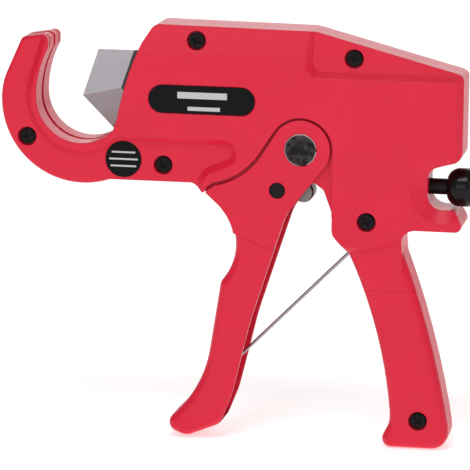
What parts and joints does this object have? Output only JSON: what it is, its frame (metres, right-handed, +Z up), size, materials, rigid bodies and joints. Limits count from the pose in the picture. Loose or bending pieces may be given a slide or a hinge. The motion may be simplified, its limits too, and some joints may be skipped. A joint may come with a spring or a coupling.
{
  "type": "pvc pipe cutter",
  "caption": "Ratchet shear for plastic pipe: fixed hook, sliding pointed blade, squeeze trigger, handle and rear release knob.",
  "frame": {"origin": "centre of the 42 mm pipe seat, on the blade's plane", "axes": "+X from the hook to the rear of the tool, +Z up from the handle, +Y to the far side, across the shells"},
  "size_m": [0.2198, 0.0264, 0.1926],
  "materials": {
    "red_paint": "satin powder coat on die-cast aluminium",
    "black_oxide": "blackened steel, lightly oiled",
    "black_plastic": "gloss",
    "label_film": "printed film",
    "pin_steel": "turned",
    "blade_steel": "ground",
    "tool_steel": "machined, oiled",
    "spring_wire": "drawn wire",
    "buffer_rubber": "matte"
  },
  "bodies": {
    "housing": {"near_shell": "red_paint", "far_shell": "red_paint", "shell_screws": "black_oxide", "dowels": "pin_steel", "name_plate": "label_film", "safety_disc": "label_film", "pivot_bolt": "black_oxide", "pivot_nut": "black_oxide", "spring_post": "pin_steel", "hold_pawl_pin": "pin_steel", "rear_buffer": "buffer_rubber", "return_spring": "spring_wire", "release_spring": "spring_wire"},
    "trigger": {"trigger": "red_paint", "pawl_pin": "black_oxide", "pawl_spacer": "pin_steel", "pawl_spring": "spring_wire"},
    "drive_pawl": {"drive_pawl": "tool_steel", "pawl_heel": "pin_steel"},
    "slide": {"blade": "blade_steel", "blade_holder": "tool_steel", "holder_screws": "black_oxide"},
    "feed_wheel": {"feed_pinion": "tool_steel", "ratchet_wheel": "tool_steel"},
    "hold_pawl": {"hold_pawl": "tool_steel"},
    "release": {"release_rod": "black_oxide", "release_knob": "black_plastic", "rod_collar": "black_oxide", "rod_cross_pin": "pin_steel"},
    "trigger_spring": {"trigger_spring": "spring_wire"}
  },
  "joints": [
    {"name": "trigger_squeeze", "type": "hinge", "parent": "housing", "child": "trigger", "pos_m": [0.1023, 0, -0.02], "axis": [0, -1, 0], "range_deg": [0, 32], "stiffness_Nm_per_rad": 0.35, "springref_deg": -34.38},
    {"name": "blade_slide", "type": "slide", "parent": "housing", "child": "slide", "axis": [-1, 0, 0], "range_m": [-0.023, 0.028], "deforming": ["return_spring"]},
    {"name": "feed_turn", "type": "hinge", "parent": "housing", "child": "feed_wheel", "pos_m": [0.1023, 0, -0.02], "axis": [0, -1, 0], "range_deg": [-132.28, 160.93]},
    {"name": "spring_swing", "type": "hinge", "parent": "housing", "child": "trigger_spring", "pos_m": [0.1331, 0, -0.052], "axis": [0, -1, 0], "range_deg": [-1, 45]},
    {"name": "drive_pawl_lift", "type": "hinge", "parent": "trigger", "child": "drive_pawl", "pos_m": [0.09183, 0, -0.03912], "axis": [0, 1, 0], "range_deg": [0, 8], "stiffness_Nm_per_rad": 0.02, "springref_deg": -28.65},
    {"name": "release_pull", "type": "slide", "parent": "housing", "child": "release", "axis": [1, 0, 0], "range_m": [0, 0.003], "stiffness_N_per_m": 400, "springref_m": -0.004, "deforming": ["release_spring"]},
    {"name": "hold_pawl_lift", "type": "hinge", "parent": "housing", "child": "hold_pawl", "pos_m": [0.1255, 0, -0.0455], "axis": [0, 1, 0], "range_deg": [-0.5, 19]}
  ],
  "couplings": [
    {"joint": "feed_turn", "follows": "blade_slide", "rad_per_m": 100},
    {"joint": "spring_swing", "follows": "trigger_squeeze", "ratio": 1.23},
    {"joint": "hold_pawl_lift", "follows": "release_pull", "rad_per_m": 106.38}
  ]
}
